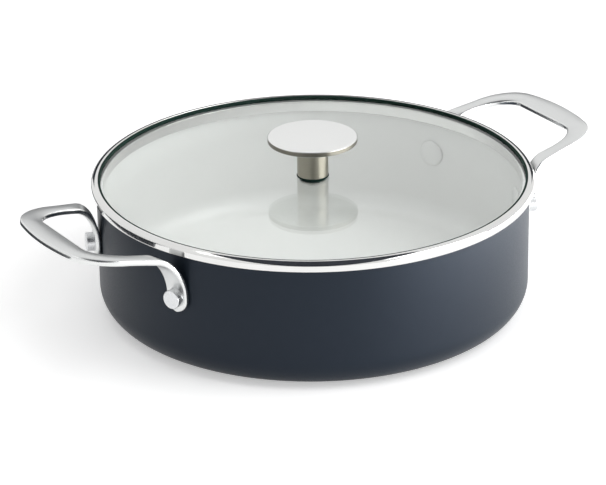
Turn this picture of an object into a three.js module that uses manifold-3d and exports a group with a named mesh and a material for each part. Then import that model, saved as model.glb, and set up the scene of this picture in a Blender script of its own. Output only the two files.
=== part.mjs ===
// Two-handled saute pan with a flat glass lid. Millimetres, +Z up.
// The origin is the middle of the underside and the handles lie along X.
import * as THREE from "three";
import { mergeVertices } from "three/addons/utils/BufferGeometryUtils.js";
import Module from "manifold-3d";

const wasm = await Module();
wasm.setup();

const radians = THREE.MathUtils.degToRad;

// Steps round a full turn
const LARGE_STEPS = 64;
const KNOB_STEPS = 40;
const SMALL_STEPS = 24;
const RIVET_STEPS = 16;

// Clearances
const SEAT_GAP = 0.3;
const FIT_GAP = 0.2;

// Pan
const PAN_RADIUS = 143;
const PAN_HEIGHT = 83.1;
const SHELL_WALL = 2.5;
const SHELL_FLOOR = 4.5;
const LINING = 0.5;
const BASE_FILLET = 17.5;
const INNER_FILLET = 15;
const RIM_ROUND = 0.6;

// Steel plate in the underside
const PLATE_RADIUS = 105;
const PLATE_THICK = 1.2;
const PLATE_RECESS = 0.2;

// Rivets
const RIVET_SPACING = 103.2;
const RIVET_DROP = 28.2;
const RIVET_HEAD_RADIUS = 6.2;
const RIVET_HEAD_HEIGHT = 5.5;
const RIVET_BEVEL = 0.5;
const RIVET_SHANK = 2.5;
const RIVET_DOME_RADIUS = 9;
const RIVET_DOME_HEIGHT = 2.4;

// Handles: straps on the wall, legs and a wider grip
const STRAP_HALF = 7.8;
const STRAP_THICK = 3.7;
const STRAP_TAIL = 2.3;
const BEND_REACH = 16;
const LEG_WIDTH = 9.5;
const LEG_LEAN = radians(4);
const LOOP_HALF = 53.1;
const LOOP_REACH = 61.3;
const LOOP_LIFT = -0.2;
const LOOP_RISE = 0.2085;
const LOOP_EASE = 0.00073;
const GRIP_WIDTH = 16.8;
const GRIP_THICK = 4.2;
const GRIP_BOW = radians(9.4);
const OUTER_CORNER_LONG = 34.5;
const OUTER_CORNER_WIDE = 26;
const INNER_CORNER_LONG = 29;
const INNER_CORNER_WIDE = 19.5;
const BAR_ROUND = 1.3;

// Lid
const BAND_OVERHANG = 3.4;
const BAND_SHEET = 0.7;
const SHOULDER_WIDE = 4.1;
const SHOULDER_DROP = 2.9;
const LIP_FLAT = 0.6;
const LIP_RISE = 1.6;
const LIP_SHEET = 0.5;
const SKIRT_CLEAR = 1.1;
const SKIRT_DEPTH = 6.4;
const SEAL_THICK = 0.6;
const SEAL_WALL = 1.1;
const SEAL_SHOW = 1.3;
const GLASS_THICK = 3.6;
const GLASS_BEVEL = 0.8;

// Knob and its screw
const KNOB_RADIUS = 29.6;
const KNOB_THICK = 3.45;
const KNOB_EDGE = 0.5;
const STEM_RADIUS = 10.3;
const STEM_HEIGHT = 23.4;
const STEM_EDGE = 0.3;
const GASKET_THICK = 0.9;
const GASKET_LIP = 0.4;
const SCREW_RADIUS = 2.4;
const SCREW_GRIP = 14;
const SCREW_HEAD_RADIUS = 4.8;
const SCREW_HEAD_HEIGHT = 2.7;
const SCREW_BEVEL = 1;
const GLASS_HOLE_CLEAR = 0.8;
const WASHER_RADIUS = 9;
const WASHER_THICK = 1;
const SOFT_RADIUS = 8;
const SOFT_THICK = 1;

// Heights and radii that follow from the sizes above
const plateTop = PLATE_RECESS + PLATE_THICK;
const shellInside = PAN_RADIUS - SHELL_WALL;
const liningInside = shellInside - LINING;
const rivetHeight = PAN_HEIGHT - RIVET_DROP;
const rivetHole = RIVET_SHANK + SEAT_GAP;
const strapBack = PAN_RADIUS + SEAT_GAP;
const strapFace = strapBack + STRAP_THICK;
const strapAngle = Math.asin(RIVET_SPACING / 2 / strapBack);
const rivetFace = strapFace + RIVET_HEAD_HEIGHT;
const rivetSeat = Math.sqrt(liningInside ** 2 - RIVET_DOME_RADIUS ** 2) - FIT_GAP;
const bandUnder = PAN_HEIGHT + SEAT_GAP;
const bandRadius = PAN_RADIUS + BAND_OVERHANG;
const bandInside = bandRadius - BAND_SHEET;
const flangeTop = bandUnder + BAND_SHEET;
const skirtRadius = liningInside - SKIRT_CLEAR;
const skirtUnder = bandUnder - SKIRT_DEPTH;
const sealOutside = bandInside - FIT_GAP;
const glassUnder = flangeTop + SEAL_THICK;
const glassTop = glassUnder + GLASS_THICK;
const glassRadius = sealOutside - SEAL_WALL - FIT_GAP;
const glassHole = SCREW_RADIUS + GLASS_HOLE_CLEAR;
const shoulderRadius = bandRadius - SHOULDER_WIDE;
const lipRadius = shoulderRadius - LIP_FLAT;
const bandTop = glassTop + LIP_RISE;
const lipUnder = bandTop - LIP_SHEET;
const sealTop = lipUnder - FIT_GAP;
const beadTop = bandTop - FIT_GAP;
const shoulderStart = bandTop - SHOULDER_DROP;
const stemUnder = glassTop + GASKET_THICK;
const knobUnder = stemUnder + STEM_HEIGHT;
const knobTop = knobUnder + KNOB_THICK;
const threadHole = SCREW_RADIUS + SEAT_GAP;
const screwTip = stemUnder + SCREW_GRIP;
const softUnder = glassUnder - SOFT_THICK;
const washerUnder = softUnder - WASHER_THICK;
const screwUnder = washerUnder - SCREW_HEAD_HEIGHT;

// Points of a circular or elliptical arc, as [radius, height] pairs
function arc(centreR, centreZ, sizeR, sizeZ, from, to, steps) {
  const points = [];
  for (let i = 0; i <= steps; i += 1) {
    const angle = radians(from + ((to - from) * i) / steps);
    points.push([centreR + sizeR * Math.cos(angle), centreZ + sizeZ * Math.sin(angle)]);
  }
  return points;
}

// Merges shared vertices and drops the triangles that close up on the axis
function closed(geometry) {
  geometry.deleteAttribute("normal");
  geometry.deleteAttribute("uv");
  const merged = mergeVertices(geometry);
  const source = merged.index.array;
  const kept = [];
  for (let i = 0; i < source.length; i += 3) {
    const [a, b, c] = source.slice(i, i + 3);
    if (a !== b && b !== c && c !== a) {
      kept.push(a, b, c);
    }
  }
  merged.setIndex(kept);
  return merged;
}

// Solid of revolution about Z from a profile of [radius, height] pairs that runs anticlockwise
function revolve(profile, steps) {
  const points = [...profile, profile[0]].map(([radius, height]) => new THREE.Vector2(radius, height));
  return closed(new THREE.LatheGeometry(points, steps).rotateX(Math.PI / 2));
}

function toSolid(geometry) {
  return new wasm.Manifold(
    new wasm.Mesh({
      numProp: 3,
      vertProperties: new Float32Array(geometry.attributes.position.array),
      triVerts: new Uint32Array(geometry.index.array),
    }),
  );
}

function cutAway(geometry, cutters) {
  let solid = toSolid(geometry);
  for (const cutter of cutters) {
    solid = solid.subtract(toSolid(cutter));
  }
  const mesh = solid.getMesh();
  const result = new THREE.BufferGeometry();
  result.setAttribute("position", new THREE.Float32BufferAttribute(mesh.vertProperties, 3));
  result.setIndex(Array.from(mesh.triVerts));
  return result;
}

// Turns a solid made along Z so that its axis points outward from the pan at a rivet
function toRivetLine(geometry, angle) {
  geometry.rotateY(Math.PI / 2);
  geometry.rotateZ(angle);
  geometry.translate(0, 0, rivetHeight);
  return geometry;
}

function rivetHoleCutter(angle) {
  const start = rivetSeat - RIVET_DOME_HEIGHT;
  const profile = [
    [0, start],
    [rivetHole, start],
    [rivetHole, rivetFace],
    [0, rivetFace],
  ];
  return toRivetLine(revolve(profile, RIVET_STEPS), angle);
}

function handleHoleCutters() {
  return [rivetHoleCutter(strapAngle), rivetHoleCutter(-strapAngle)];
}

function wallHoleCutters() {
  const turned = [rivetHoleCutter(Math.PI + strapAngle), rivetHoleCutter(Math.PI - strapAngle)];
  return [...handleHoleCutters(), ...turned];
}

// Inner face of the shell, or of the lining on it, from the rim down to the middle of the floor
function innerFace(depth) {
  const wall = shellInside - depth;
  const floor = SHELL_FLOOR + depth;
  const fillet = INNER_FILLET + LINING - depth;
  const corner = arc(wall - fillet, floor + fillet, fillet, fillet, 360, 270, 5);
  return [[wall, PAN_HEIGHT], ...corner, [0, floor]];
}

function panShell() {
  const recess = PLATE_RADIUS + SEAT_GAP;
  const profile = [
    [0, plateTop],
    [recess, plateTop],
    [recess, 0],
    ...arc(PAN_RADIUS - BASE_FILLET, BASE_FILLET, BASE_FILLET, BASE_FILLET, 270, 360, 6),
    [PAN_RADIUS, PAN_HEIGHT - RIM_ROUND],
    [PAN_RADIUS - RIM_ROUND, PAN_HEIGHT],
    ...innerFace(0),
  ];
  return cutAway(revolve(profile, LARGE_STEPS), wallHoleCutters());
}

function ceramicLining() {
  const profile = [...innerFace(0).reverse(), ...innerFace(LINING)];
  return cutAway(revolve(profile, LARGE_STEPS), wallHoleCutters());
}

// Flat ring, or a disc where the hole is nothing
function ring(hole, radius, under, top, steps) {
  const profile = [
    [hole, under],
    [radius, under],
    [radius, top],
    [hole, top],
  ];
  return revolve(profile, steps);
}

// Height of the handle's upper face, which rises outward and eases off
function loopHeight(x) {
  const out = x - PAN_RADIUS;
  return PAN_HEIGHT + LOOP_LIFT + LOOP_RISE * out - LOOP_EASE * out * out;
}

// Point on the straight line of a leg's edge at a given distance out from the wall
function onLeg(foot, knee, normal, reach) {
  const direction = knee.clone().sub(foot).normalize();
  return foot.clone().addScaledVector(direction, reach / direction.dot(normal));
}

// Point on the elliptical corner of the handle's outer or inner edge
function onCorner(centre, long, wide, angle) {
  return new THREE.Vector2(centre.x + long * Math.cos(angle), centre.y + wide * Math.sin(angle));
}

// Pairs of outer and inner edge points on the handle's upper face, from the foot of one strap
// to the middle of the grip
function halfLoop() {
  const normal = new THREE.Vector2(Math.cos(strapAngle), Math.sin(strapAngle));
  const along = new THREE.Vector2(-normal.y, normal.x);
  const foot = normal.clone().multiplyScalar(strapBack);
  const outerFoot = foot.clone().addScaledVector(along, STRAP_HALF);
  const innerFoot = foot.clone().addScaledVector(along, -STRAP_HALF);

  // Centres of the two corner curves, set back from the tip of the grip
  const tip = PAN_RADIUS + LOOP_REACH;
  const outerCentre = new THREE.Vector2(0, LOOP_HALF - OUTER_CORNER_WIDE);
  const bowStartY = outerCentre.y + OUTER_CORNER_WIDE * Math.sin(GRIP_BOW);
  const bowSlope = (Math.tan(GRIP_BOW) * OUTER_CORNER_LONG) / OUTER_CORNER_WIDE;
  const bowDepth = (bowStartY * bowSlope) / 2;
  outerCentre.x = tip - bowDepth - OUTER_CORNER_LONG * Math.cos(GRIP_BOW);
  const innerCentre = new THREE.Vector2(
    tip - GRIP_WIDTH - INNER_CORNER_LONG,
    LOOP_HALF - LEG_WIDTH - INNER_CORNER_WIDE,
  );
  const legAngle = Math.PI / 2 - LEG_LEAN;
  const outerKnee = onCorner(outerCentre, OUTER_CORNER_LONG, OUTER_CORNER_WIDE, legAngle);
  const innerKnee = onCorner(innerCentre, INNER_CORNER_LONG, INNER_CORNER_WIDE, legAngle);
  const stations = [];

  function addFlat(outer, inner, thickness) {
    stations.push({
      outer: new THREE.Vector3(outer.x, outer.y, loopHeight(outer.x)),
      inner: new THREE.Vector3(inner.x, inner.y, loopHeight(inner.x)),
      thickness,
    });
  }

  // Rounded foot of the strap
  for (const degrees of [14, 34, 54, 72, 90]) {
    const half = STRAP_HALF * Math.sin(radians(degrees));
    const height = rivetHeight - STRAP_TAIL - STRAP_HALF * Math.cos(radians(degrees));
    const outer = foot.clone().addScaledVector(along, half);
    const inner = foot.clone().addScaledVector(along, -half);
    stations.push({
      outer: new THREE.Vector3(outer.x, outer.y, height),
      inner: new THREE.Vector3(inner.x, inner.y, height),
      thickness: STRAP_THICK,
    });
  }

  // Bend from the wall at the rivet into the leg: its edges keep their lines as seen from above
  const bendSteps = 9;
  for (let i = 0; i <= bendSteps; i += 1) {
    const angle = (Math.PI / 2) * (i / bendSteps);
    const reach = BEND_REACH * (1 - Math.cos(angle));
    const [outer, inner] = [
      [outerFoot, outerKnee],
      [innerFoot, innerKnee],
    ].map(([from, to]) => {
      const point = onLeg(from, to, normal, reach);
      const bendHeight = loopHeight(from.x) - rivetHeight;
      const drop = bendHeight * (1 - Math.sin(angle));
      return new THREE.Vector3(point.x, point.y, loopHeight(point.x) - drop);
    });
    stations.push({ outer, inner, thickness: STRAP_THICK });
  }

  // Leg, halfway from the bend to the corner
  const outerBendEnd = onLeg(outerFoot, outerKnee, normal, BEND_REACH);
  const innerBendEnd = onLeg(innerFoot, innerKnee, normal, BEND_REACH);
  addFlat(outerBendEnd.lerp(outerKnee, 0.5), innerBendEnd.lerp(innerKnee, 0.5), STRAP_THICK);

  // Corner, where the bar thickens towards the grip
  const cornerSteps = 9;
  for (let i = 0; i <= cornerSteps; i += 1) {
    const part = i / cornerSteps;
    const outerAngle = legAngle + (GRIP_BOW - legAngle) * part;
    addFlat(
      onCorner(outerCentre, OUTER_CORNER_LONG, OUTER_CORNER_WIDE, outerAngle),
      onCorner(innerCentre, INNER_CORNER_LONG, INNER_CORNER_WIDE, legAngle * (1 - part)),
      STRAP_THICK + (GRIP_THICK - STRAP_THICK) * part,
    );
  }

  // Grip, bowed on its outer edge and straight on its inner edge
  for (const part of [0.75, 0.5, 0.25, 0]) {
    addFlat(
      new THREE.Vector2(tip - bowDepth * part * part, bowStartY * part),
      new THREE.Vector2(tip - GRIP_WIDTH, innerCentre.y * part),
      GRIP_THICK,
    );
  }
  return stations;
}

// Cross-section of the handle bar with rounded edges, as [across, deep] pairs
function barSection(width, depth) {
  const round = Math.min(BAR_ROUND, width * 0.3, depth * 0.45);
  const half = width / 2 - round;
  const corners = [
    [half, round, 270],
    [half, depth - round, 0],
    [-half, depth - round, 90],
    [-half, round, 180],
  ];
  const points = [];
  for (const [across, deep, start] of corners) {
    points.push(...arc(across, deep, round, round, start, start + 90, 2));
  }
  return points;
}

// Handle on the right side, swept from one strap round to the other
function handle() {
  const half = halfLoop();
  const mirror = new THREE.Vector3(1, -1, 1);
  const otherHalf = half.slice(0, -1).reverse().map(({ outer, inner, thickness }) => ({
    outer: outer.clone().multiply(mirror),
    inner: inner.clone().multiply(mirror),
    thickness,
  }));
  const stations = [...half, ...otherHalf];
  const middles = stations.map(({ outer, inner }) => outer.clone().lerp(inner, 0.5));
  const positions = [];
  let ringSize = 0;
  stations.forEach(({ outer, inner, thickness }, i) => {
    const before = middles[Math.max(i - 1, 0)];
    const after = middles[Math.min(i + 1, middles.length - 1)];
    const across = outer.clone().sub(inner).normalize();
    const deep = across.clone().cross(after.clone().sub(before)).normalize();
    const section = barSection(outer.distanceTo(inner), thickness);
    ringSize = section.length;
    for (const [u, v] of section) {
      const point = middles[i].clone().addScaledVector(across, u).addScaledVector(deep, v);
      positions.push(point.x, point.y, point.z);
    }
  });
  const index = [];
  const last = (stations.length - 1) * ringSize;
  for (let start = 0; start < last; start += ringSize) {
    for (let j = 0; j < ringSize; j += 1) {
      const a = start + j;
      const b = start + ((j + 1) % ringSize);
      index.push(a, b + ringSize, b, a, a + ringSize, b + ringSize);
    }
  }
  for (let j = 1; j + 1 < ringSize; j += 1) {
    index.push(0, j, j + 1);
    index.push(last, last + j + 1, last + j);
  }
  const geometry = new THREE.BufferGeometry();
  geometry.setAttribute("position", new THREE.Float32BufferAttribute(positions, 3));
  geometry.setIndex(index);
  return cutAway(geometry, handleHoleCutters());
}

// Rivet with a low dome inside the pan and a flat-faced button that sits on the strap
function rivet(angle, handleGeometry) {
  const profile = [
    [0, rivetSeat - RIVET_DOME_HEIGHT],
    ...arc(0, rivetSeat, RIVET_DOME_RADIUS, RIVET_DOME_HEIGHT, 288, 360, 4),
    [RIVET_SHANK, rivetSeat],
    [RIVET_SHANK, strapFace + SEAT_GAP],
    [RIVET_HEAD_RADIUS, strapFace + SEAT_GAP],
    [RIVET_HEAD_RADIUS, rivetFace - RIVET_BEVEL],
    [RIVET_HEAD_RADIUS - RIVET_BEVEL, rivetFace],
    [0, rivetFace],
  ];
  const strapCutter = handleGeometry.clone();
  strapCutter.translate(SEAT_GAP * Math.cos(angle), SEAT_GAP * Math.sin(angle), 0);
  return cutAway(toRivetLine(revolve(profile, RIVET_STEPS), angle), [strapCutter]);
}

function lidGlass() {
  const profile = [
    [glassHole, glassUnder],
    [glassRadius - GLASS_BEVEL, glassUnder],
    [glassRadius, glassUnder + GLASS_BEVEL],
    [glassRadius, glassTop - GLASS_BEVEL],
    [glassRadius - GLASS_BEVEL, glassTop],
    [glassHole, glassTop],
  ];
  return revolve(profile, LARGE_STEPS);
}

// Rolled band: skirt inside the pan, flange on its rim, upright face and a lip over the glass
function lidRim() {
  const profile = [
    [skirtRadius - BAND_SHEET, skirtUnder],
    [skirtRadius, skirtUnder],
    [skirtRadius, bandUnder],
    [bandRadius - BAND_SHEET, bandUnder],
    [bandRadius, flangeTop],
    ...arc(shoulderRadius, shoulderStart, SHOULDER_WIDE, SHOULDER_DROP, 0, 90, 4),
    [lipRadius, bandTop - FIT_GAP],
    [lipRadius, lipUnder],
    ...arc(shoulderRadius, shoulderStart, bandInside - shoulderRadius, lipUnder - shoulderStart, 90, 0, 4),
    [bandInside, flangeTop + BAND_SHEET],
    [bandInside - BAND_SHEET, flangeTop],
    [skirtRadius - BAND_SHEET, flangeTop],
  ];
  return revolve(profile, LARGE_STEPS);
}

// Dark strip that wraps the edge of the glass and shows as a bead inside the lip
function rimSeal() {
  const wall = glassRadius + FIT_GAP;
  const edge = lipRadius - SEAL_SHOW;
  const profile = [
    [lipRadius, flangeTop],
    [sealOutside - BAND_SHEET, flangeTop],
    [sealOutside, flangeTop + BAND_SHEET],
    ...arc(shoulderRadius, shoulderStart, sealOutside - shoulderRadius, sealTop - shoulderStart, 0, 90, 4),
    [lipRadius - FIT_GAP, sealTop],
    [lipRadius - FIT_GAP, beadTop],
    [edge, beadTop],
    [edge, glassTop],
    [wall - GLASS_BEVEL, glassTop],
    [wall, glassTop - GLASS_BEVEL],
    [wall, glassUnder],
    [lipRadius, glassUnder],
  ];
  return revolve(profile, LARGE_STEPS);
}

function knobDisc() {
  const profile = [
    [0, knobUnder],
    [KNOB_RADIUS - KNOB_EDGE, knobUnder],
    [KNOB_RADIUS, knobUnder + KNOB_EDGE],
    [KNOB_RADIUS, knobTop - KNOB_EDGE],
    [KNOB_RADIUS - KNOB_EDGE, knobTop],
    [0, knobTop],
  ];
  return revolve(profile, KNOB_STEPS);
}

// Stem with a blind hole for the screw
function knobStem() {
  const holeTop = screwTip + SEAT_GAP;
  const profile = [
    [threadHole, stemUnder],
    [STEM_RADIUS - STEM_EDGE, stemUnder],
    [STEM_RADIUS, stemUnder + STEM_EDGE],
    [STEM_RADIUS, knobUnder],
    [0, knobUnder],
    [0, holeTop],
    [threadHole, holeTop],
  ];
  return revolve(profile, SMALL_STEPS);
}

function knobScrew() {
  const profile = [
    [0, screwUnder],
    [SCREW_HEAD_RADIUS - SCREW_BEVEL, screwUnder],
    [SCREW_HEAD_RADIUS, screwUnder + SCREW_BEVEL],
    [SCREW_HEAD_RADIUS, washerUnder],
    [SCREW_RADIUS, washerUnder],
    [SCREW_RADIUS, screwTip],
    [0, screwTip],
  ];
  return revolve(profile, SMALL_STEPS);
}

function piece(name, geometry, look) {
  const mesh = new THREE.Mesh(geometry, new THREE.MeshStandardMaterial(look));
  mesh.name = name;
  return mesh;
}

const COATING = { color: 0x31353d, metalness: 0.2, roughness: 0.5 };
const CERAMIC = { color: 0xdfe1dc, metalness: 0, roughness: 0.35 };
const SATIN_STEEL = { color: 0xc9cac6, metalness: 1, roughness: 0.3 };
const BRIGHT_STEEL = { color: 0xd6d7d5, metalness: 1, roughness: 0.12 };
const GLASS = { color: 0xdfe9e4, metalness: 0, roughness: 0.05, transparent: true, opacity: 0.3 };
const RUBBER = { color: 0x23312f, metalness: 0, roughness: 0.6 };

// One handle with its rivets, turned about the pan's axis to its side
function handleSet(side, turn, rivetSides) {
  const set = new THREE.Group();
  const handleGeometry = handle();
  set.add(piece(`${side}_handle`, handleGeometry, SATIN_STEEL));
  for (const [place, angle] of Object.entries(rivetSides)) {
    set.add(piece(`${side}_${place}_rivet`, rivet(angle, handleGeometry), SATIN_STEEL));
  }
  set.rotation.z = turn;
  return set;
}

const pan = new THREE.Group();
pan.add(
  piece("pan_shell", panShell(), COATING),
  piece("ceramic_lining", ceramicLining(), CERAMIC),
  piece("induction_plate", ring(0, PLATE_RADIUS, PLATE_RECESS, plateTop, LARGE_STEPS), SATIN_STEEL),
  handleSet("right", 0, { front: -strapAngle, back: strapAngle }),
  handleSet("left", Math.PI, { front: strapAngle, back: -strapAngle }),
);

const lid = new THREE.Group();
lid.add(
  piece("lid_glass", lidGlass(), GLASS),
  piece("lid_rim", lidRim(), BRIGHT_STEEL),
  piece("rim_seal", rimSeal(), RUBBER),
  piece("knob_disc", knobDisc(), SATIN_STEEL),
  piece("knob_stem", knobStem(), BRIGHT_STEEL),
  piece("knob_gasket", ring(glassHole, STEM_RADIUS + GASKET_LIP, glassTop, stemUnder, SMALL_STEPS), RUBBER),
  piece("screw_gasket", ring(glassHole, SOFT_RADIUS, softUnder, glassUnder, SMALL_STEPS), RUBBER),
  piece("screw_washer", ring(threadHole, WASHER_RADIUS, washerUnder, softUnder, SMALL_STEPS), SATIN_STEEL),
  piece("knob_screw", knobScrew(), SATIN_STEEL),
);

const sautePan = new THREE.Group();
sautePan.add(pan, lid);

export default sautePan;
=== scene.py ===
# Looks of a two-handled saute pan with a flat glass lid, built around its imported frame.
# Metres, +Z up. The handles lie along X.
import math

import bpy
from mathutils import Matrix, Vector


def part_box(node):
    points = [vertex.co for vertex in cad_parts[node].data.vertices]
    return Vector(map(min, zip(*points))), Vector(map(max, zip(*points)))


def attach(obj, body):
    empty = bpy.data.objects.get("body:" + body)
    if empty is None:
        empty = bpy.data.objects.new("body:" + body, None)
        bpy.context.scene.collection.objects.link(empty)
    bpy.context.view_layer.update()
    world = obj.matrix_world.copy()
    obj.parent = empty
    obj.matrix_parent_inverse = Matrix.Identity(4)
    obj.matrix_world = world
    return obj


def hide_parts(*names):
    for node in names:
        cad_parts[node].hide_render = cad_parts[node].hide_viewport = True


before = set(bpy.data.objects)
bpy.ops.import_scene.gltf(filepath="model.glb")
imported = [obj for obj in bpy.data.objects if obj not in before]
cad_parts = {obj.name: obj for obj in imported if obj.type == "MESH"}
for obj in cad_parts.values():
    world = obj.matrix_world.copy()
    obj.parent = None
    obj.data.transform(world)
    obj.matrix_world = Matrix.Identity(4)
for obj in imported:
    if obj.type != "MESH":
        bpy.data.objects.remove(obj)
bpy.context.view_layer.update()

MM = 0.001

# Steps round a full turn
LARGE_STEPS = 224
KNOB_STEPS = 128
SMALL_STEPS = 72


def radius_of(node):
    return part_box(node)[1].x


def under_of(node):
    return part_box(node)[0].z


def top_of(node):
    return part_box(node)[1].z


# Pan
PAN_RADIUS = radius_of("pan_shell")
PAN_TOP = top_of("pan_shell")
BASE_FILLET = 17.5 * MM
INNER_FILLET = 15 * MM
RIM_ROUND = 0.8 * MM
LINING = 0.5 * MM
SHELL_INSIDE = radius_of("ceramic_lining")
SHELL_FLOOR = under_of("ceramic_lining")
LINING_INSIDE = SHELL_INSIDE - LINING
LINING_FLOOR = SHELL_FLOOR + LINING
SEAT_GAP = 0.3 * MM
FILM_GAP = 0.03 * MM
PLATE_RADIUS = radius_of("induction_plate")
PLATE_UNDER = under_of("induction_plate")
PLATE_TOP = top_of("induction_plate")
PLATE_GROOVES = 14
GROOVE_WIDTH = 2 * MM
GROOVE_DEPTH = 0.3 * MM

# Rivets
RIVET_SPACING = 103.2 * MM
RIVET_HEIGHT = (under_of("right_front_rivet") + top_of("right_front_rivet")) / 2
RIVET_HEAD_RADIUS = 6.2 * MM
RIVET_HEAD_HEIGHT = 5.5 * MM
RIVET_SHANK = 2.5 * MM
RIVET_DOME_RADIUS = 9 * MM
RIVET_DOME_HEIGHT = 2.4 * MM
DOME_SEAM = 0.8 * MM
RIVET_BEVEL = 0.6 * MM
RIVET_SUNK = 1 * MM

# Handles: straps on the wall, legs and a wider grip
STRAP_BACK = PAN_RADIUS + SEAT_GAP
STRAP_HALF = 7.8 * MM
STRAP_THICK = 3.7 * MM
STRAP_TAIL = 2.3 * MM
STRAP_ANGLE = math.asin(RIVET_SPACING / 2 / STRAP_BACK)
STRAP_FACE = STRAP_BACK + STRAP_THICK
BEND_REACH = 16 * MM
LEG_WIDTH = 9.5 * MM
LEG_LEAN = math.radians(4)
LOOP_HALF = 53.1 * MM
LOOP_REACH = 61.3 * MM
LOOP_TIP = PAN_RADIUS + LOOP_REACH
LOOP_LIFT = -0.2 * MM
LOOP_RISE = 0.2085
LOOP_EASE = 0.73
GRIP_WIDTH = 16.8 * MM
GRIP_THICK = 4.2 * MM
GRIP_BOW = math.radians(9.4)
GRIP_CROWN = 0.7 * MM
LEG_CROWN = 0.25 * MM
OUTER_CORNER_LONG = 34.5 * MM
OUTER_CORNER_WIDE = 26 * MM
INNER_CORNER_LONG = 29 * MM
INNER_CORNER_WIDE = 19.5 * MM
BAR_ROUND = 1.3 * MM

# Lid
BAND_RADIUS = radius_of("lid_rim")
BAND_TOP = top_of("lid_rim")
BAND_UNDER = PAN_TOP + SEAT_GAP
BAND_SHEET = 0.7 * MM
SKIRT_UNDER = under_of("lid_rim")
SKIRT_CLEAR = 1.1 * MM
SKIRT_RADIUS = LINING_INSIDE - SKIRT_CLEAR
SKIRT_ROUND = 0.3 * MM
FLANGE_ROUND = 0.4 * MM
SHOULDER_WIDE = 4.1 * MM
SHOULDER_DROP = 2.9 * MM
SHOULDER_RADIUS = BAND_RADIUS - SHOULDER_WIDE
SHOULDER_HEIGHT = BAND_TOP - SHOULDER_DROP
LIP_FLAT = 0.6 * MM
LIP_SHEET = 0.5 * MM
LIP_ROUND = 0.45 * MM
LIP_RADIUS = SHOULDER_RADIUS - LIP_FLAT
LIP_UNDER = BAND_TOP - LIP_SHEET
GLASS_RADIUS = radius_of("lid_glass")
GLASS_UNDER = under_of("lid_glass")
GLASS_TOP = top_of("lid_glass")
GLASS_BEVEL = 0.8 * MM
SEAL_RADIUS = radius_of("rim_seal")
SEAL_UNDER = under_of("rim_seal")
SEAL_GAP = 0.2 * MM
SEAL_TOP = LIP_UNDER - SEAL_GAP
SEAL_SHOW = 1.3 * MM
BEAD_TOP = BAND_TOP - SEAL_GAP
BEAD_ROUND = 0.4 * MM
BEAD_BACK_ROUND = 0.2 * MM
BEAD_FOOT_ROUND = 0.1 * MM

# Knob and its screw
KNOB_RADIUS = radius_of("knob_disc")
KNOB_UNDER = under_of("knob_disc")
KNOB_TOP = top_of("knob_disc")
STEM_RADIUS = radius_of("knob_stem")
STEM_UNDER = under_of("knob_stem")
GASKET_RADIUS = radius_of("knob_gasket")
HOLE_RADIUS = 3.2 * MM
SOFT_RADIUS = radius_of("screw_gasket")
WASHER_RADIUS = radius_of("screw_washer")
WASHER_UNDER = under_of("screw_washer")
WASHER_TOP = top_of("screw_washer")
SCREW_RADIUS = 2.4 * MM
SCREW_HEAD_RADIUS = radius_of("knob_screw")
SCREW_UNDER = under_of("knob_screw")
SCREW_TIP = top_of("knob_screw")
SOCKET_RADIUS = 2.3 * MM
SOCKET_DEPTH = 1.6 * MM
KNOB_EDGE = 0.5 * MM
STEM_EDGE = 0.3 * MM
GASKET_ROUND = 0.3 * MM
WASHER_ROUND = 0.25 * MM
SCREW_HEAD_ROUND = 1 * MM
SCREW_SEAT_ROUND = 0.2 * MM
SCREW_TIP_ROUND = 0.4 * MM

# Share of a rounding that stays straight beside it, and the angle from which an edge looks sharp
STRAIGHT_SHARE = 0.12
SHARP_ANGLE = math.radians(35)

# Depth of the surface grain, and how much coarser the change of tone is
GRAIN_DEPTH = 0.1 * MM
TONE_COARSER = 12

# Numbers of the colour sockets of a Mix node
MIX_DARK = 6
MIX_LIGHT = 7
MIX_RESULT = 2

# Camera, as the photograph was taken
VIEW_AZIMUTH = math.radians(-32.52)
VIEW_ELEVATION = math.radians(23.70)
VIEW_ROLL = math.radians(-0.64)
VIEW_DISTANCE = 2.21
VIEW_LENS = 197
VIEW_TARGET = Vector((0, 0, 0.04))
VIEW_SHIFT = Vector((-0.007, -0.00018))

# Dark ceiling: degrees above the floor at its front and, past the top, its back, and half its width
CEILING_FRONT = 10
CEILING_BACK = 130
CEILING_HALF = 25
CARD_DISTANCE = 1.3

# Dark flag at the back: first and last degrees right of the camera, and degrees above the floor
FLAG_TURNS = (150, 210)
FLAG_LIFT = 19

# Dark mats on the floor: degrees right of the camera and distances from the pan's middle
BACK_MAT_TURNS = (-200, -140)
BACK_MAT_REACH = (0.16, 0.6)
LEFT_MAT_TURNS = (-140, -70)
LEFT_MAT_REACH = (0.3, 0.8)

# Levels of the white surroundings where they light, and of the floor's own glow where it is seen
WORLD_LEVEL = 0.44
FLOOR_GLOW = 0.4
FLOOR_HALF = 20
FLOOR_GAP = 0.1 * MM

# Lamps: degrees right of the camera and above the floor, distance, width, height and radiance
SOFTBOXES = {
    "top": (-120, 82, 2.6, 2, 2, 1.1),
    "key": (80, 46, 2.6, 1.8, 1.8, 2.9),
    "side": (70, 4, 2.2, 2.4, 0.36, 9),
}

# Low lamp on the floor that leans towards the pan
PANEL_AZIMUTH = 82
PANEL_LEAN = 13
PANEL_DISTANCE = 0.58
PANEL_WIDE = 0.9
PANEL_HIGH = 0.42
PANEL_RADIANCE = 10


# Mesh helpers


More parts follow.
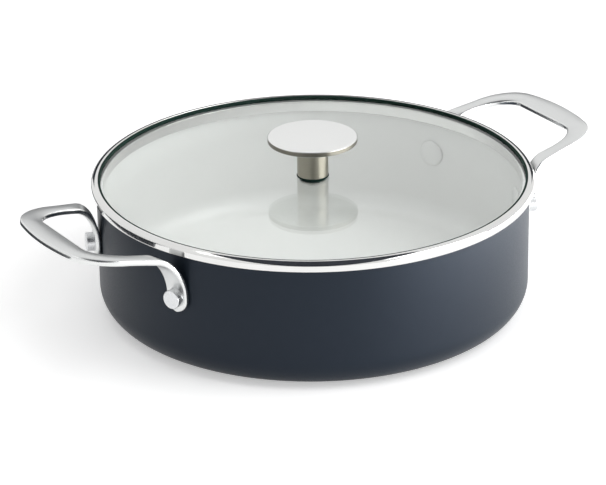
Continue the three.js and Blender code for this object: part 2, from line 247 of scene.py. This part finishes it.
def rounded(corners, steps=6):
    """Profile of (radius, height) pairs from corners of (radius, height, rounding).

    A short straight piece at both ends of each rounding keeps the faces beside it flat.
    """
    points = []
    for i, (radius, height, rounding) in enumerate(corners):
        corner = Vector((radius, height))
        if rounding == 0:
            points.append(corner)
            continue
        to_last = (Vector(corners[i - 1][:2]) - corner).normalized()
        to_next = (Vector(corners[(i + 1) % len(corners)][:2]) - corner).normalized()
        half = to_last.angle(to_next) / 2
        reach = rounding / math.tan(half)
        straight = reach + rounding * STRAIGHT_SHARE
        centre = corner + (to_last + to_next).normalized() * rounding / math.sin(half)
        first = corner + to_last * reach - centre
        last = corner + to_next * reach - centre
        start = math.atan2(first.y, first.x)
        sweep = math.atan2(first.x * last.y - first.y * last.x, first.dot(last))
        points.append(corner + to_last * straight)
        for k in range(steps + 1):
            angle = start + sweep * k / steps
            points.append(centre + rounding * Vector((math.cos(angle), math.sin(angle))))
        points.append(corner + to_next * straight)
    return points


def arc(centre_r, centre_z, size_r, size_z, start, end, steps):
    """Sharp corners along a circular or elliptical arc."""
    corners = []
    for k in range(steps + 1):
        angle = math.radians(start + (end - start) * k / steps)
        corners.append((centre_r + size_r * math.cos(angle), centre_z + size_z * math.sin(angle), 0))
    return corners


def as_object(name, vertices, faces):
    mesh = bpy.data.meshes.new(name)
    mesh.from_pydata([tuple(v) for v in vertices], [], faces)
    mesh.shade_smooth()
    mesh.set_sharp_from_angle(angle=SHARP_ANGLE)
    piece = bpy.data.objects.new(name, mesh)
    bpy.context.scene.collection.objects.link(piece)
    return piece


def lathe(name, profile, steps, place=None, hexagons=()):
    """Solid of revolution about Z from (radius, height) pairs that run anticlockwise.

    The rings whose numbers are in hexagons have six flat sides.
    """
    vertices = []
    rings = []
    for i, (radius, height) in enumerate(profile):
        count = 1 if radius < FILM_GAP else steps
        rings.append(range(len(vertices), len(vertices) + count))
        for k in range(count):
            angle = 2 * math.pi * k / steps
            out = radius
            if i in hexagons:
                out = radius * math.cos(math.pi / 6) / math.cos(angle % (math.pi / 3) - math.pi / 6)
            vertices.append(Vector((out * math.cos(angle), out * math.sin(angle), height)))
    faces = []
    for low, high in zip(rings, rings[1:] + rings[:1]):
        if len(low) == 1 and len(high) == 1:
            continue
        for k in range(steps):
            n = (k + 1) % steps
            if len(low) == 1:
                faces.append((low[0], high[n], high[k]))
            elif len(high) == 1:
                faces.append((low[k], low[n], high[0]))
            else:
                faces.append((low[k], low[n], high[n], high[k]))
    if place is not None:
        vertices = [place @ v for v in vertices]
    return as_object(name, vertices, faces)


def dress(piece, body, slot, look, *nodes):
    """Puts a finished piece on its body, with its material, in place of its CAD nodes."""
    piece.data.materials.append(look)
    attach(piece, body)
    if nodes:
        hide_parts(*nodes)


# Material helpers


def new_look(name, **values):
    look = bpy.data.materials.new(name)
    look.use_nodes = True
    shader = look.node_tree.nodes["Principled BSDF"]
    for socket, value in values.items():
        shader.inputs[socket.replace("_", " ")].default_value = value
    return look, look.node_tree, shader


def add_node(tree, kind, **values):
    node = tree.nodes.new(kind)
    for key, value in values.items():
        setattr(node, key, value)
    return node


def noise(tree, scale):
    """Noise in the part's own coordinates, in cycles a metre."""
    where = add_node(tree, "ShaderNodeTexCoord")
    texture = add_node(tree, "ShaderNodeTexNoise")
    texture.inputs["Scale"].default_value = scale
    tree.links.new(where.outputs["Object"], texture.inputs["Vector"])
    return texture.outputs["Fac"]


def spread(tree, source, low, high, start=0.35, end=0.65):
    """A value that runs from low to high as the source runs from start to end."""
    node = add_node(tree, "ShaderNodeMapRange")
    node.inputs["From Min"].default_value = start
    node.inputs["From Max"].default_value = end
    node.inputs["To Min"].default_value = low
    node.inputs["To Max"].default_value = high
    tree.links.new(source, node.inputs["Value"])
    return node.outputs["Result"]


def tint(tree, source, dark, light):
    """A colour between two by a value from 0 to 1."""
    node = add_node(tree, "ShaderNodeMix", data_type="RGBA")
    node.inputs[MIX_DARK].default_value = (*dark, 1)
    node.inputs[MIX_LIGHT].default_value = (*light, 1)
    tree.links.new(source, node.inputs[0])
    return node.outputs[MIX_RESULT]


def relief(tree, shader, source, strength):
    node = add_node(tree, "ShaderNodeBump")
    node.inputs["Strength"].default_value = strength
    node.inputs["Distance"].default_value = GRAIN_DEPTH
    tree.links.new(source, node.inputs["Height"])
    tree.links.new(node.outputs["Normal"], shader.inputs["Normal"])


def surface_look(name, dark, light, rough, grain, grain_relief, **values):
    """Surface whose colour and roughness vary softly and which has a fine grain."""
    look, tree, shader = new_look(name, **values)
    fine = noise(tree, grain)
    coarse = noise(tree, grain / TONE_COARSER)
    tree.links.new(tint(tree, coarse, dark, light), shader.inputs["Base Color"])
    tree.links.new(spread(tree, fine, *rough), shader.inputs["Roughness"])
    relief(tree, shader, fine, grain_relief)
    return look


def cast_steel():
    """Cast handle: flat faces satin, edges polished, by the mesh's own finish value."""
    look, tree, shader = new_look("cast_steel", Metallic=1)
    colour = tint(tree, noise(tree, 60), (0.71, 0.72, 0.715), (0.76, 0.77, 0.765))
    tree.links.new(colour, shader.inputs["Base Color"])
    finish = add_node(tree, "ShaderNodeAttribute", attribute_name="finish")
    tree.links.new(spread(tree, finish.outputs["Fac"], 0.2, 0.32, 0, 1), shader.inputs["Roughness"])
    relief(tree, shader, noise(tree, 1600), 0.03)
    return look


def turned_steel(name, painted_dark_side_colour):
    """Steel turned on a lathe: even shine on flat faces, drawn out along the axis on round sides. The
    round sides are painted darker than the flat faces as a painted reflection.
    """
    look, tree, shader = new_look(name, Metallic=1, Anisotropic_Rotation=0.25)
    tangent = add_node(tree, "ShaderNodeTangent", direction_type="RADIAL", axis="Z")
    tree.links.new(tangent.outputs["Tangent"], shader.inputs["Tangent"])
    shape = add_node(tree, "ShaderNodeNewGeometry")
    parts = add_node(tree, "ShaderNodeSeparateXYZ")
    flat = add_node(tree, "ShaderNodeMath", operation="ABSOLUTE")
    tree.links.new(shape.outputs["Normal"], parts.inputs["Vector"])
    tree.links.new(parts.outputs["Z"], flat.inputs[0])
    flatness = flat.outputs["Value"]
    tree.links.new(spread(tree, flatness, 1, 0, 0, 1), shader.inputs["Anisotropic"])
    where = add_node(tree, "ShaderNodeTexCoord")
    rings = add_node(tree, "ShaderNodeTexWave", wave_type="RINGS", rings_direction="Z")
    rings.inputs["Scale"].default_value = 260
    rings.inputs["Distortion"].default_value = 1.5
    rings.inputs["Detail"].default_value = 3
    tree.links.new(where.outputs["Object"], rings.inputs["Vector"])
    # Painted reflection: round sides take the given dark side colour and flat faces a bright one, by
    # how upright the surface faces
    colour = tint(tree, flatness, painted_dark_side_colour, (0.86, 0.865, 0.855))
    tree.links.new(colour, shader.inputs["Base Color"])
    tree.links.new(spread(tree, flatness, 0.38, 0.22, 0, 1), shader.inputs["Roughness"])
    relief(tree, shader, rings.outputs["Fac"], 0.02)
    return look


def clear_glass():
    """Clear pane with a slight green edge. Light from the lamps reaches what is under it."""
    look, tree, shader = new_look(
        "clear_glass", Base_Color=(0.99, 1, 0.995, 1), Transmission_Weight=1, IOR=1.5
    )
    tree.links.new(spread(tree, noise(tree, 25), 0, 0.012), shader.inputs["Roughness"])
    passing = add_node(tree, "ShaderNodeBsdfTransparent")
    passing.inputs["Color"].default_value = (0.955, 0.96, 0.957, 1)
    path = add_node(tree, "ShaderNodeLightPath")
    mix = add_node(tree, "ShaderNodeMixShader")
    tree.links.new(path.outputs["Is Shadow Ray"], mix.inputs[0])
    tree.links.new(shader.outputs["BSDF"], mix.inputs[1])
    tree.links.new(passing.outputs["BSDF"], mix.inputs[2])
    output = tree.nodes["Material Output"]
    tree.links.new(mix.outputs["Shader"], output.inputs["Surface"])
    absorption = add_node(tree, "ShaderNodeVolumeAbsorption")
    absorption.inputs["Color"].default_value = (0.62, 0.86, 0.8, 1)
    absorption.inputs["Density"].default_value = 8
    tree.links.new(absorption.outputs["Volume"], output.inputs["Volume"])
    return look


coating = surface_look(
    "satin_coating", (0.0075, 0.0115, 0.018), (0.009, 0.0135, 0.0205), (0.38, 0.46), 1400, 0.08,
    Specular_IOR_Level=0.3, Specular_Tint=(0.72, 0.82, 1, 1),
)
ceramic = surface_look(
    "ceramic_coating", (0.66, 0.661, 0.648), (0.685, 0.686, 0.673), (0.23, 0.27), 900, 0.004,
)
polished = surface_look(
    "polished_steel", (0.70, 0.70, 0.69), (0.76, 0.76, 0.75), (0.05, 0.09), 500, 0.01,
    Metallic=1,
)
plate_steel = surface_look(
    "ground_steel", (0.48, 0.48, 0.47), (0.56, 0.56, 0.55), (0.28, 0.4), 700, 0.05,
    Metallic=1,
)
screw_steel = surface_look(
    "screw_steel", (0.52, 0.52, 0.51), (0.6, 0.6, 0.59), (0.25, 0.35), 1500, 0.03,
    Metallic=1,
)
rivet_steel = surface_look(
    "rivet_steel", (0.66, 0.67, 0.68), (0.72, 0.73, 0.74), (0.26, 0.34), 1500, 0.03,
    Metallic=1,
)
rubber = surface_look(
    "dark_seal", (0.012, 0.028, 0.022), (0.018, 0.04, 0.033), (0.45, 0.6), 1800, 0.15,
    Specular_IOR_Level=0.05,
)
steel = cast_steel()
# The side colours given here are painted dark reflection on the knob's round sides
stem_steel = turned_steel("stem_steel", (0.34, 0.325, 0.27))
disc_steel = turned_steel("disc_steel", (0.2, 0.192, 0.16))
glass = clear_glass()
dark_cloth = surface_look(
    "dark_cloth", (0.012, 0.015, 0.022), (0.018, 0.022, 0.03), (0.9, 1), 8, 0,
)


# Pan


def make_pan():
    recess = PLATE_RADIUS + SEAT_GAP
    shell = rounded(
        [
            (0, PLATE_TOP, 0),
            (recess, PLATE_TOP, 0),
            (recess, 0, SEAT_GAP),
            (PAN_RADIUS, 0, BASE_FILLET),
            (PAN_RADIUS, PAN_TOP, RIM_ROUND),
            (SHELL_INSIDE, PAN_TOP, 0),
            (SHELL_INSIDE, SHELL_FLOOR, INNER_FILLET + LINING),
            (0, SHELL_FLOOR, 0),
        ],
        16,
    )
    dress(lathe("pan_body", shell, LARGE_STEPS), "pan", "pan_shell", coating, "pan_shell")
    inside = rounded(
        [
            (0, SHELL_FLOOR, 0),
            (SHELL_INSIDE, SHELL_FLOOR, INNER_FILLET + LINING),
            (SHELL_INSIDE, PAN_TOP, 0),
            (LINING_INSIDE, PAN_TOP, LINING / 2),
            (LINING_INSIDE, LINING_FLOOR, INNER_FILLET),
            (0, LINING_FLOOR, 0),
        ],
        16,
    )
    dress(lathe("lining", inside, LARGE_STEPS), "pan", "ceramic_lining", ceramic, "ceramic_lining")
    plate = [(0, PLATE_UNDER, 0)]
    for i in range(PLATE_GROOVES):
        middle = PLATE_RADIUS * (i + 1) / (PLATE_GROOVES + 1)
        for across, depth in ((-0.5, 0), (-0.3, 1), (0.3, 1), (0.5, 0)):
            plate.append((middle + across * GROOVE_WIDTH, PLATE_UNDER + depth * GROOVE_DEPTH, 0))
    plate.append((PLATE_RADIUS, PLATE_UNDER, SEAT_GAP))
    plate.append((PLATE_RADIUS, PLATE_TOP, 0))
    plate.append((0, PLATE_TOP, 0))
    piece = lathe("base_plate", rounded(plate), LARGE_STEPS)
    dress(piece, "pan", "induction_plate", plate_steel, "induction_plate")


# Handles


def loop_height(x):
    """Height of the handle's upper face, which rises outward and eases off."""
    out = x - PAN_RADIUS
    return PAN_TOP + LOOP_LIFT + LOOP_RISE * out - LOOP_EASE * out * out


def on_leg(foot, knee, normal, reach):
    direction = (knee - foot).normalized()
    return foot + direction * reach / direction.dot(normal)


def on_corner(centre, long, wide, angle):
    """Point on an elliptical corner, long along X and wide along Y."""
    return centre + Vector((long * math.cos(angle), wide * math.sin(angle)))


def raised(point, drop=0.0):
    return Vector((point.x, point.y, loop_height(point.x) - drop))


def half_loop():
    """Stations of (outer edge, inner edge, thickness, crown) from a foot to the middle of the grip."""
    normal = Vector((math.cos(STRAP_ANGLE), math.sin(STRAP_ANGLE)))
    along = Vector((-normal.y, normal.x))
    foot = normal * STRAP_BACK
    outer_foot = foot + along * STRAP_HALF
    inner_foot = foot - along * STRAP_HALF
    bow_start = LOOP_HALF - OUTER_CORNER_WIDE * (1 - math.sin(GRIP_BOW))
    bow_slope = math.tan(GRIP_BOW) * OUTER_CORNER_LONG / OUTER_CORNER_WIDE
    bow_depth = bow_start * bow_slope / 2
    outer_centre = Vector((
        LOOP_TIP - bow_depth - OUTER_CORNER_LONG * math.cos(GRIP_BOW),
        LOOP_HALF - OUTER_CORNER_WIDE,
    ))
    inner_centre = Vector((
        LOOP_TIP - GRIP_WIDTH - INNER_CORNER_LONG,
        LOOP_HALF - LEG_WIDTH - INNER_CORNER_WIDE,
    ))
    leg_angle = math.pi / 2 - LEG_LEAN
    outer_knee = on_corner(outer_centre, OUTER_CORNER_LONG, OUTER_CORNER_WIDE, leg_angle)
    inner_knee = on_corner(inner_centre, INNER_CORNER_LONG, INNER_CORNER_WIDE, leg_angle)
    stations = []

    # Rounded foot of the strap
    for degrees in (4, 10, 20, 32, 44, 56, 68, 80, 90):
        side = along * STRAP_HALF * math.sin(math.radians(degrees))
        height = RIVET_HEIGHT - STRAP_TAIL - STRAP_HALF * math.cos(math.radians(degrees))
        stations.append(((foot + side).to_3d(), (foot - side).to_3d(), STRAP_THICK, 0))
        for edge in stations[-1][:2]:
            edge.z = height

    # Bend from the wall at the rivet into the leg
    bend_steps = 24
    for k in range(bend_steps + 1):
        angle = math.pi / 2 * k / bend_steps
        reach = BEND_REACH * (1 - math.cos(angle))
        edges = []
        for start, knee in ((outer_foot, outer_knee), (inner_foot, inner_knee)):
            drop = (loop_height(start.x) - RIVET_HEIGHT) * (1 - math.sin(angle))
            edges.append(raised(on_leg(start, knee, normal, reach), drop))
        stations.append((*edges, STRAP_THICK, 0))

    # Leg
    outer_start = on_leg(outer_foot, outer_knee, normal, BEND_REACH)
    inner_start = on_leg(inner_foot, inner_knee, normal, BEND_REACH)
    for part in (0.25, 0.5, 0.75):
        outer = raised(outer_start.lerp(outer_knee, part))
        inner = raised(inner_start.lerp(inner_knee, part))
        stations.append((outer, inner, STRAP_THICK, LEG_CROWN))

    # Corner, where the bar thickens towards the grip
    corner_steps = 32
    for k in range(corner_steps + 1):
        part = k / corner_steps
        outer_angle = leg_angle + (GRIP_BOW - leg_angle) * part
        inner_angle = leg_angle * (1 - part)
        outer = raised(on_corner(outer_centre, OUTER_CORNER_LONG, OUTER_CORNER_WIDE, outer_angle))
        inner = raised(on_corner(inner_centre, INNER_CORNER_LONG, INNER_CORNER_WIDE, inner_angle))
        thickness = STRAP_THICK + (GRIP_THICK - STRAP_THICK) * part
        crown = LEG_CROWN + (GRIP_CROWN - LEG_CROWN) * part
        stations.append((outer, inner, thickness, crown))

    # Grip, bowed on its outer edge and straight on its inner edge
    grip_steps = 12
    for k in range(1, grip_steps + 1):
        part = 1 - k / grip_steps
        outer = raised(Vector((LOOP_TIP - bow_depth * part * part, bow_start * part)))
        inner = raised(Vector((LOOP_TIP - GRIP_WIDTH, inner_centre.y * part)))
        stations.append((outer, inner, GRIP_THICK, GRIP_CROWN))
    return stations


def bar_section(width, depth, crown):
    """Cross-section of the bar as (across, deep, finish): 1 on the flat faces, 0 on the sides."""
    round_size = min(BAR_ROUND, width * 0.3, depth * 0.45)
    half = width / 2 - round_size
    corners = [
        (half, round_size, 270),
        (half, depth - round_size, 0),
        (-half, depth - round_size, 90),
        (-half, round_size, 180),
    ]
    points = []
    corner_steps = 5
    for across, deep, start in corners:
        for k in range(corner_steps + 1):
            angle = math.radians(start + 90 * k / corner_steps)
            finish = abs(math.sin(angle)) ** 2
            points.append((
                across + round_size * math.cos(angle),
                deep + round_size * math.sin(angle),
                finish,
            ))

    # Slightly domed upper face
    crown_steps = 8
    for k in range(1, crown_steps):
        share = 2 * k / crown_steps - 1
        points.append((half * share, -crown * (1 - share * share), 1))
    return points


def make_handle(side, turn):
    half = half_loop()
    mirror = Vector((1, -1, 1))
    stations = list(half)
    for outer, inner, thickness, crown in reversed(half[:-1]):
        stations.append((outer * mirror, inner * mirror, thickness, crown))
    middles = [(outer + inner) / 2 for outer, inner, _, _ in stations]
    place = Matrix.Rotation(turn, 4, "Z")
    vertices = []
    finishes = []
    faces = []
    for i, (outer, inner, thickness, crown) in enumerate(stations):
        ahead = middles[min(i + 1, len(middles) - 1)] - middles[max(i - 1, 0)]
        across = (outer - inner).normalized()
        deep = across.cross(ahead).normalized()
        section = bar_section((outer - inner).length, thickness, crown)
        for u, v, finish in section:
            vertices.append(place @ (middles[i] + across * u + deep * v))
            finishes.append(finish)
    size = len(section)
    for start in range(0, len(vertices) - size, size):
        for k in range(size):
            n = (k + 1) % size
            faces.append((start + k, start + size + k, start + size + n, start + n))
    faces.append(tuple(range(size)))
    faces.append(tuple(reversed(range(len(vertices) - size, len(vertices)))))
    piece = as_object(side + "_loop_handle", vertices, faces)
    attribute = piece.data.attributes.new("finish", "FLOAT", "POINT")
    attribute.data.foreach_set("value", finishes)
    dress(piece, "pan", "handle_steel", steel, side + "_handle")


def make_rivet(node, angle):
    """Steel button on the strap and the coated dome inside the pan."""
    place = (
        Matrix.Translation((0, 0, RIVET_HEIGHT))
        @ Matrix.Rotation(angle, 4, "Z")
        @ Matrix.Rotation(math.pi / 2, 4, "Y")
    )
    face = STRAP_FACE + RIVET_HEAD_HEIGHT
    under = STRAP_FACE - RIVET_SUNK
    button = rounded([
        (0, LINING_INSIDE, 0),
        (RIVET_SHANK, LINING_INSIDE, 0),
        (RIVET_SHANK, under, 0),
        (RIVET_HEAD_RADIUS, under, 0),
        (RIVET_HEAD_RADIUS, face, RIVET_BEVEL),
        (0, face, 0),
    ])
    piece = lathe(node + "_button", button, SMALL_STEPS, place)
    dress(piece, "pan", "rivet_steel", rivet_steel, node)
    seat = math.sqrt(LINING_INSIDE ** 2 - RIVET_DOME_RADIUS ** 2)
    edge = seat - DOME_SEAM
    root = LINING_INSIDE + LINING / 2
    dome = [
        (0, seat - RIVET_DOME_HEIGHT, 0),
        *arc(0, edge, RIVET_DOME_RADIUS, RIVET_DOME_HEIGHT - DOME_SEAM, 271, 360, 14),
        (RIVET_DOME_RADIUS - DOME_SEAM, edge, 0),
        (RIVET_DOME_RADIUS - DOME_SEAM, root, 0),
        (0, root, 0),
    ]
    piece = lathe(node + "_dome", rounded(dome), SMALL_STEPS, place)
    dress(piece, "pan", "ceramic_lining", ceramic)


# Lid


def shoulder(radius, top, start, end, steps):
    """Corners along the band's rounded shoulder, for an outside or a layer inside it."""
    wide = radius - SHOULDER_RADIUS
    return arc(SHOULDER_RADIUS, SHOULDER_HEIGHT, wide, top - SHOULDER_HEIGHT, start, end, steps)


def make_lid():
    inside = BAND_RADIUS - BAND_SHEET
    band = [
        (SKIRT_RADIUS - BAND_SHEET, SKIRT_UNDER, SKIRT_ROUND),
        (SKIRT_RADIUS, SKIRT_UNDER, SKIRT_ROUND),
        (SKIRT_RADIUS, BAND_UNDER, FLANGE_ROUND),
        (BAND_RADIUS, BAND_UNDER, BAND_SHEET),
        *shoulder(BAND_RADIUS, BAND_TOP, 0, 90, 28),
        (LIP_RADIUS, BAND_TOP, LIP_ROUND),
        (LIP_RADIUS, LIP_UNDER, 0),
        *shoulder(inside, LIP_UNDER, 90, 0, 10),
        (inside, SEAL_UNDER, BAND_SHEET),
        (SKIRT_RADIUS - BAND_SHEET, SEAL_UNDER, FLANGE_ROUND),
    ]
    dress(lathe("lid_band", rounded(band), LARGE_STEPS), "lid", "lid_rim", polished, "lid_rim")
    pane = [
        (HOLE_RADIUS, GLASS_UNDER, 0),
        (GLASS_RADIUS, GLASS_UNDER, GLASS_BEVEL),
        (GLASS_RADIUS, GLASS_TOP, GLASS_BEVEL),
        (HOLE_RADIUS, GLASS_TOP, 0),
    ]
    dress(lathe("lid_pane", rounded(pane), LARGE_STEPS), "lid", "lid_glass", glass, "lid_glass")
    pane_seat = GLASS_UNDER - FILM_GAP
    pane_cover = GLASS_TOP + FILM_GAP
    wall = GLASS_RADIUS + SEAL_GAP
    edge = LIP_RADIUS - SEAL_SHOW
    strip = [
        (LIP_RADIUS, SEAL_UNDER, 0),
        (SEAL_RADIUS, SEAL_UNDER, BAND_SHEET),
        *shoulder(SEAL_RADIUS, SEAL_TOP, 0, 90, 10),
        (LIP_RADIUS - SEAL_GAP, SEAL_TOP, 0),
        (LIP_RADIUS - SEAL_GAP, BEAD_TOP, BEAD_BACK_ROUND),
        (edge, BEAD_TOP, BEAD_ROUND),
        (edge, pane_cover, BEAD_FOOT_ROUND),
        (wall - GLASS_BEVEL, pane_cover, 0),
        (wall, GLASS_TOP - GLASS_BEVEL, 0),
        (wall, pane_seat, 0),
        (LIP_RADIUS, pane_seat, 0),
    ]
    dress(lathe("pane_seal", rounded(strip), LARGE_STEPS), "lid", "soft_seal", rubber, "rim_seal")


def make_ring(name, slot, look, node, sizes, rounding):
    """Flat ring with rounded outer edges from (hole, radius, under, top)."""
    hole, radius, low, high = sizes
    corners = [(hole, low, 0), (radius, low, rounding), (radius, high, rounding), (hole, high, 0)]
    dress(lathe(name, rounded(corners), SMALL_STEPS), "lid", slot, look, node)


def make_knob():
    disc = [
        (0, KNOB_UNDER, 0),
        (KNOB_RADIUS, KNOB_UNDER, KNOB_EDGE),
        (KNOB_RADIUS, KNOB_TOP, KNOB_EDGE),
        (0, KNOB_TOP, 0),
    ]
    dress(lathe("knob_top", rounded(disc), KNOB_STEPS), "lid", "knob_steel", disc_steel, "knob_disc")
    stem = [
        (0, STEM_UNDER, 0),
        (STEM_RADIUS, STEM_UNDER, STEM_EDGE),
        (STEM_RADIUS, KNOB_UNDER, 0),
        (0, KNOB_UNDER, 0),
    ]
    dress(lathe("knob_post", rounded(stem), KNOB_STEPS), "lid", "knob_steel", stem_steel, "knob_stem")
    gasket = (HOLE_RADIUS, GASKET_RADIUS, GLASS_TOP + FILM_GAP, STEM_UNDER)
    make_ring("knob_ring", "soft_seal", rubber, "knob_gasket", gasket, GASKET_ROUND)
    soft = (HOLE_RADIUS, SOFT_RADIUS, WASHER_TOP, GLASS_UNDER - FILM_GAP)
    make_ring("soft_washer", "soft_seal", rubber, "screw_gasket", soft, GASKET_ROUND)
    washer = (SCREW_RADIUS + SEAT_GAP, WASHER_RADIUS, WASHER_UNDER, WASHER_TOP)
    make_ring("steel_washer", "screw_steel", screw_steel, "screw_washer", washer, WASHER_ROUND)
    socket_floor = SCREW_UNDER + SOCKET_DEPTH
    screw = [
        (0, socket_floor, 0),
        (SOCKET_RADIUS, socket_floor, 0),
        (SOCKET_RADIUS, SCREW_UNDER, 0),
        (SCREW_HEAD_RADIUS, SCREW_UNDER, SCREW_HEAD_ROUND),
        (SCREW_HEAD_RADIUS, WASHER_UNDER, SCREW_SEAT_ROUND),
        (SCREW_RADIUS, WASHER_UNDER, 0),
        (SCREW_RADIUS, SCREW_TIP, SCREW_TIP_ROUND),
        (0, SCREW_TIP, 0),
    ]
    piece = lathe("socket_screw", rounded(screw), SMALL_STEPS, hexagons=(1, 2))
    dress(piece, "lid", "screw_steel", screw_steel, "knob_screw")


make_pan()
for side, turn in (("right", 0), ("left", math.pi)):
    make_handle(side, turn)
    for place, angle in (("front", -STRAP_ANGLE), ("back", STRAP_ANGLE)):
        around = angle if turn == 0 else turn - angle
        make_rivet(f"{side}_{place}_rivet", around)
make_lid()
make_knob()


# Stage

scene = bpy.context.scene
scene.view_settings.view_transform = "Standard"


def view_frame():
    """The camera's place and its right, up and back directions."""
    level = math.cos(VIEW_ELEVATION)
    back = Vector((
        math.sin(VIEW_AZIMUTH) * level,
        -math.cos(VIEW_AZIMUTH) * level,
        math.sin(VIEW_ELEVATION),
    ))
    right = Vector((math.cos(VIEW_AZIMUTH), math.sin(VIEW_AZIMUTH), 0))
    place = VIEW_TARGET + back * VIEW_DISTANCE
    aim = VIEW_TARGET + right * VIEW_SHIFT.x + back.cross(right) * VIEW_SHIFT.y
    axis = (place - aim).normalized()
    flat_right = Vector((0, 0, 1)).cross(axis).normalized()
    flat_up = axis.cross(flat_right)
    turned_right = flat_right * math.cos(VIEW_ROLL) + flat_up * math.sin(VIEW_ROLL)
    return place, turned_right, axis.cross(turned_right), axis


def make_camera():
    place, right, up, back = view_frame()
    data = bpy.data.cameras.new("camera")
    data.lens = VIEW_LENS
    data.sensor_width = 36
    data.clip_end = 100
    camera = bpy.data.objects.new("camera", data)
    camera.matrix_world = Matrix((
        (right.x, up.x, back.x, place.x),
        (right.y, up.y, back.y, place.y),
        (right.z, up.z, back.z, place.z),
        (0, 0, 0, 1),
    ))
    scene.collection.objects.link(camera)
    scene.camera = camera


def level_when_seen(tree, hidden, seen):
    """One level where a surface lights others, another where it is seen, also in steel or glass."""
    path = add_node(tree, "ShaderNodeLightPath")
    direct = add_node(tree, "ShaderNodeMath", operation="MAXIMUM")
    shown = add_node(tree, "ShaderNodeMath", operation="MAXIMUM")
    tree.links.new(path.outputs["Is Camera Ray"], direct.inputs[0])
    tree.links.new(path.outputs["Is Glossy Ray"], direct.inputs[1])
    tree.links.new(direct.outputs["Value"], shown.inputs[0])
    tree.links.new(path.outputs["Is Transmission Ray"], shown.inputs[1])
    return spread(tree, shown.outputs["Value"], hidden, seen, 0, 1)


def make_floor():
    signs = ((-1, -1), (1, -1), (1, 1), (-1, 1))
    corners = [(FLOOR_HALF * x, FLOOR_HALF * y, -FLOOR_GAP) for x, y in signs]
    floor = as_object("floor", corners, [(0, 1, 2, 3)])
    look, tree, shader = new_look("white_floor", Roughness=0.8, Emission_Color=(1, 1, 1, 1))
    colour = tint(tree, noise(tree, 2), (0.91, 0.91, 0.91), (0.93, 0.93, 0.93))
    tree.links.new(colour, shader.inputs["Base Color"])
    tree.links.new(level_when_seen(tree, 0, FLOOR_GLOW), shader.inputs["Emission Strength"])
    floor.data.materials.append(look)


def make_world():
    """Plain white surroundings, at a lower level where they light matt surfaces."""
    world = bpy.data.worlds.new("studio")
    world.use_nodes = True
    background = world.node_tree.nodes["Background"]
    background.inputs["Color"].default_value = (1, 1, 1, 1)
    level = level_when_seen(world.node_tree, WORLD_LEVEL, 1)
    world.node_tree.links.new(level, background.inputs["Strength"])
    scene.world = world


def direction(azimuth, elevation):
    """Direction from the pan, as degrees right of the camera and above the floor."""
    turn = VIEW_AZIMUTH + math.radians(azimuth)
    lift = math.radians(elevation)
    return Vector((math.sin(turn) * math.cos(lift), -math.cos(turn) * math.cos(lift), math.sin(lift)))


def make_lamp(name, place, back, wide, high, radiance):
    """Rectangular lamp that faces away from the back direction, as bright as the radiance says."""
    data = bpy.data.lights.new(name, "AREA")
    data.shape = "RECTANGLE"
    data.size = wide
    data.size_y = high
    data.energy = radiance * math.pi * wide * high
    lamp = bpy.data.objects.new(name, data)
    lamp.location = place
    lamp.rotation_mode = "QUATERNION"
    lamp.rotation_quaternion = back.to_track_quat("Z", "Y")
    scene.collection.objects.link(lamp)
    return lamp


def make_softbox(name, azimuth, elevation, distance, wide, high, radiance):
    """Lamp that faces the pan from a distance."""
    towards = direction(azimuth, elevation)
    make_lamp(name, VIEW_TARGET + towards * distance, towards, wide, high, radiance)


def make_panel():
    """Low lamp that lies beside the pan and leans towards it."""
    lift = PANEL_HIGH / 2 * math.sin(math.radians(PANEL_LEAN))
    place = direction(PANEL_AZIMUTH, 0) * PANEL_DISTANCE + Vector((0, 0, lift))
    back = direction(PANEL_AZIMUTH, PANEL_LEAN - 90)
    lamp = make_lamp("reflector", place, back, PANEL_WIDE, PANEL_HIGH, PANEL_RADIANCE)
    lamp.visible_camera = False


def make_dark_card(name, edges):
    """Dark cloth that only shiny surfaces show, from pairs of points along its two edges."""
    vertices = [point for pair in edges for point in pair]
    faces = [(2 * k, 2 * k + 1, 2 * k + 3, 2 * k + 2) for k in range(len(edges) - 1)]
    card = as_object(name, vertices, faces)
    card.data.materials.append(dark_cloth)
    card.visible_camera = False
    card.visible_diffuse = False
    card.visible_transmission = False
    card.visible_shadow = False


def make_dark_ceiling():
    """Lens-shaped strip over the pan from front to back."""
    steps = 60
    edges = []
    for k in range(steps + 1):
        part = (k + 0.5) / (steps + 1)
        ahead = direction(0, CEILING_FRONT + (CEILING_BACK - CEILING_FRONT) * part)
        half = math.radians(CEILING_HALF) * math.sqrt(1 - (2 * part - 1) ** 2)
        pair = []
        for turn in (-half, half):
            towards = ahead * math.cos(turn) + direction(90, 0) * math.sin(turn)
            pair.append(VIEW_TARGET + towards * CARD_DISTANCE)
        edges.append(pair)
    make_dark_card("dark_ceiling", edges)


def make_dark_flag():
    """Upright strip that stands at the back."""
    steps = 12
    edges = []
    for k in range(steps + 1):
        turn = FLAG_TURNS[0] + (FLAG_TURNS[1] - FLAG_TURNS[0]) * k / steps
        pair = [direction(turn, 0), direction(turn, FLAG_LIFT)]
        edges.append([VIEW_TARGET + towards * CARD_DISTANCE for towards in pair])
    make_dark_card("back_flag", edges)


def make_dark_mat(name, turns, reach):
    """Strip that lies on the floor beside the pan."""
    steps = 24
    edges = []
    for k in range(steps + 1):
        towards = direction(turns[0] + (turns[1] - turns[0]) * k / steps, 0)
        edges.append([towards * reach[0], towards * reach[1]])
    make_dark_card(name, edges)


make_camera()
make_floor()
make_world()
make_dark_ceiling()
make_dark_flag()
make_dark_mat("back_mat", BACK_MAT_TURNS, BACK_MAT_REACH)
make_dark_mat("left_mat", LEFT_MAT_TURNS, LEFT_MAT_REACH)
for name, setting in SOFTBOXES.items():
    make_softbox(name, *setting)
make_panel()
